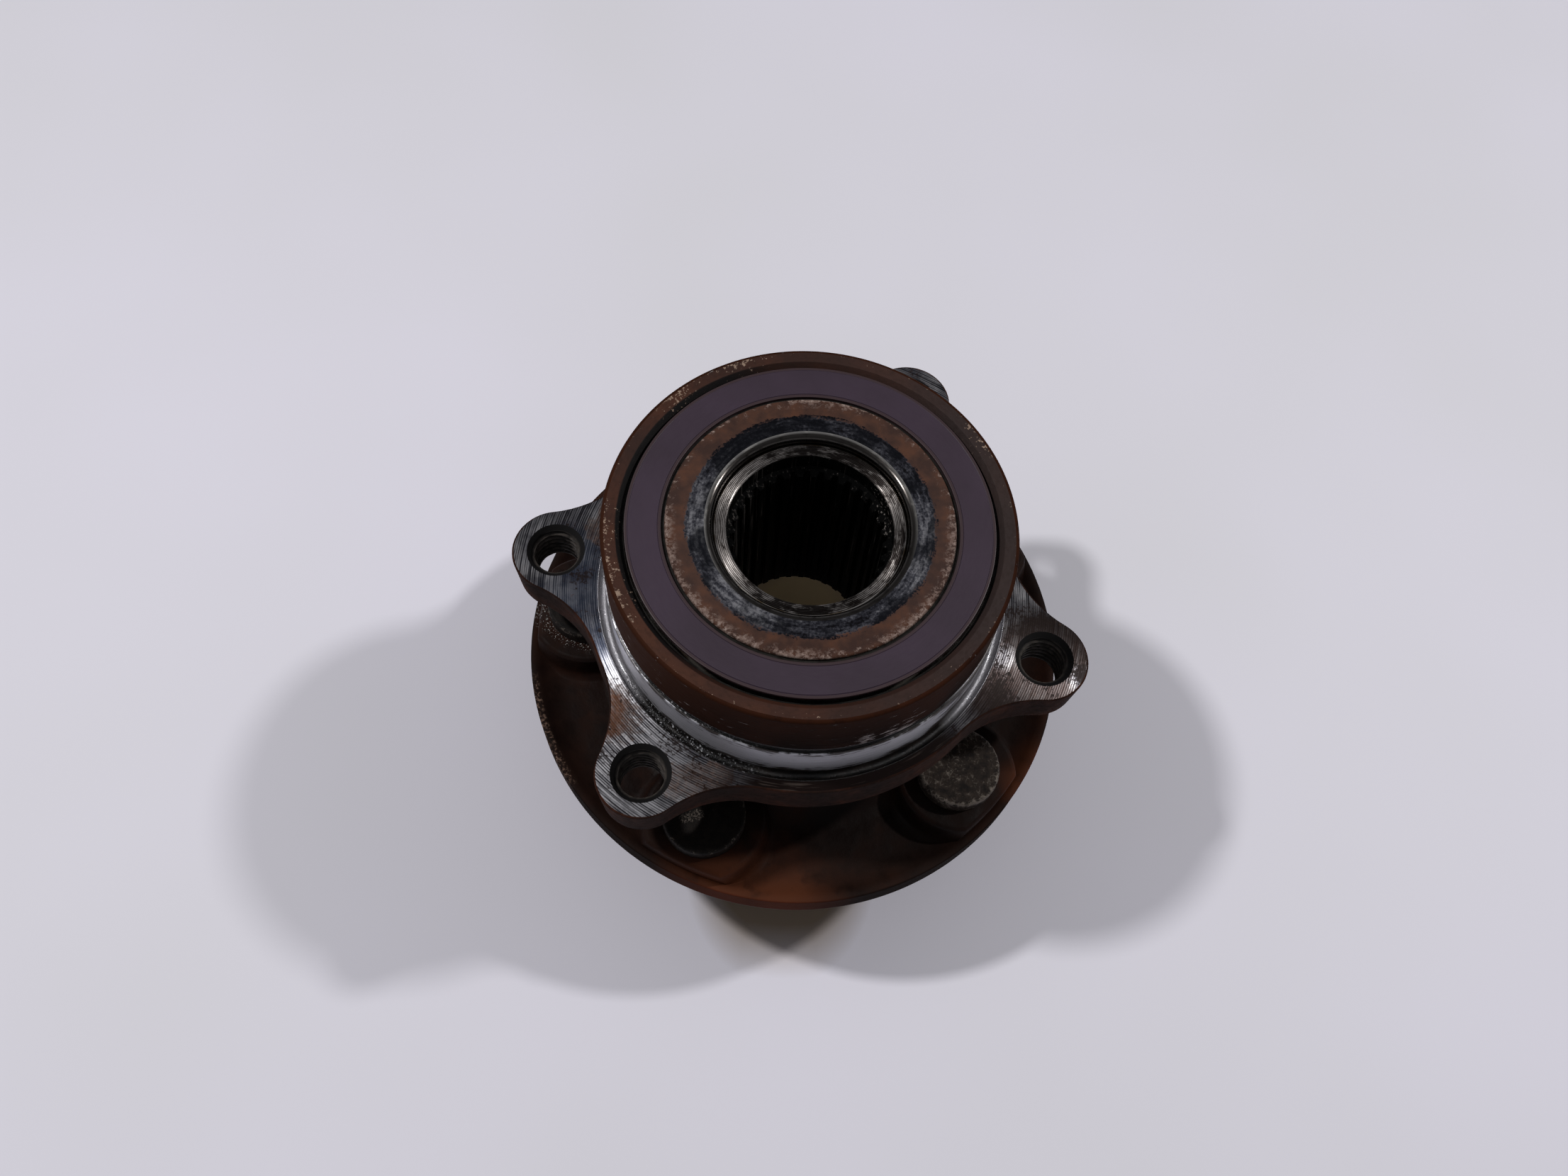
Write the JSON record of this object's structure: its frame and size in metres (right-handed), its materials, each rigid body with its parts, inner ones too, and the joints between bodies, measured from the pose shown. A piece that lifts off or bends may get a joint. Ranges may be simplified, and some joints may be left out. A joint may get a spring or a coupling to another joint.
{
  "type": "wheel hub bearing",
  "caption": "Driven wheel hub bearing: flanged outer ring with threaded ears, splined hub with wheel flange and pressed studs, sealed double ball rows and an encoder ring.",
  "frame": {"origin": "centre of the wheel-mounting face on the hub axis", "axes": "+Z along the hub axis, inboard, towards the knuckle and drive shaft; +X away from the ear at 180 degrees"},
  "size_m": [0.1355, 0.133, 0.1113],
  "materials": {
    "forged_steel": "rusted forging, turned where it mates",
    "bearing_steel": "ground, rust stained",
    "ball_steel": "polished",
    "cage_nylon": "moulded",
    "seal_sheet_steel": "pressed sheet",
    "seal_rubber": "matt",
    "encoder_rubber": "satin",
    "stud_steel": "phosphated, worn"
  },
  "bodies": {
    "knuckle_side": {"outer_ring": "forged_steel", "inboard_seal_case": "seal_sheet_steel", "inboard_seal_lips": "seal_rubber", "outboard_seal_case": "seal_sheet_steel", "outboard_seal_lips": "seal_rubber"},
    "hub": {"hub_spindle": "forged_steel", "inner_ring": "bearing_steel", "slinger": "seal_sheet_steel", "encoder_ring": "encoder_rubber", "wheel_studs": "stud_steel"},
    "inboard_row": {"inboard_cage": "cage_nylon", "inboard_ball_01": "ball_steel", "inboard_ball_02": "ball_steel", "inboard_ball_03": "ball_steel", "inboard_ball_04": "ball_steel", "inboard_ball_05": "ball_steel", "inboard_ball_06": "ball_steel", "inboard_ball_07": "ball_steel", "inboard_ball_08": "ball_steel", "inboard_ball_09": "ball_steel", "inboard_ball_10": "ball_steel", "inboard_ball_11": "ball_steel", "inboard_ball_12": "ball_steel", "inboard_ball_13": "ball_steel"},
    "outboard_row": {"outboard_cage": "cage_nylon", "outboard_ball_01": "ball_steel", "outboard_ball_02": "ball_steel", "outboard_ball_03": "ball_steel", "outboard_ball_04": "ball_steel", "outboard_ball_05": "ball_steel", "outboard_ball_06": "ball_steel", "outboard_ball_07": "ball_steel", "outboard_ball_08": "ball_steel", "outboard_ball_09": "ball_steel", "outboard_ball_10": "ball_steel", "outboard_ball_11": "ball_steel", "outboard_ball_12": "ball_steel", "outboard_ball_13": "ball_steel"}
  },
  "joints": [
    {"name": "hub_spin", "type": "hinge", "parent": "knuckle_side", "child": "hub", "pos_m": [0, 0, 0.045], "axis": [0, 0, 1], "continuous": true},
    {"name": "inboard_row_orbit", "type": "hinge", "parent": "knuckle_side", "child": "inboard_row", "pos_m": [0, 0, 0.057], "axis": [0, 0, 1], "continuous": true},
    {"name": "outboard_row_orbit", "type": "hinge", "parent": "knuckle_side", "child": "outboard_row", "pos_m": [0, 0, 0.033], "axis": [0, 0, 1], "continuous": true}
  ],
  "couplings": [
    {"joint": "inboard_row_orbit", "follows": "hub_spin", "ratio": 0.4347},
    {"joint": "outboard_row_orbit", "follows": "hub_spin", "ratio": 0.4347}
  ]
}
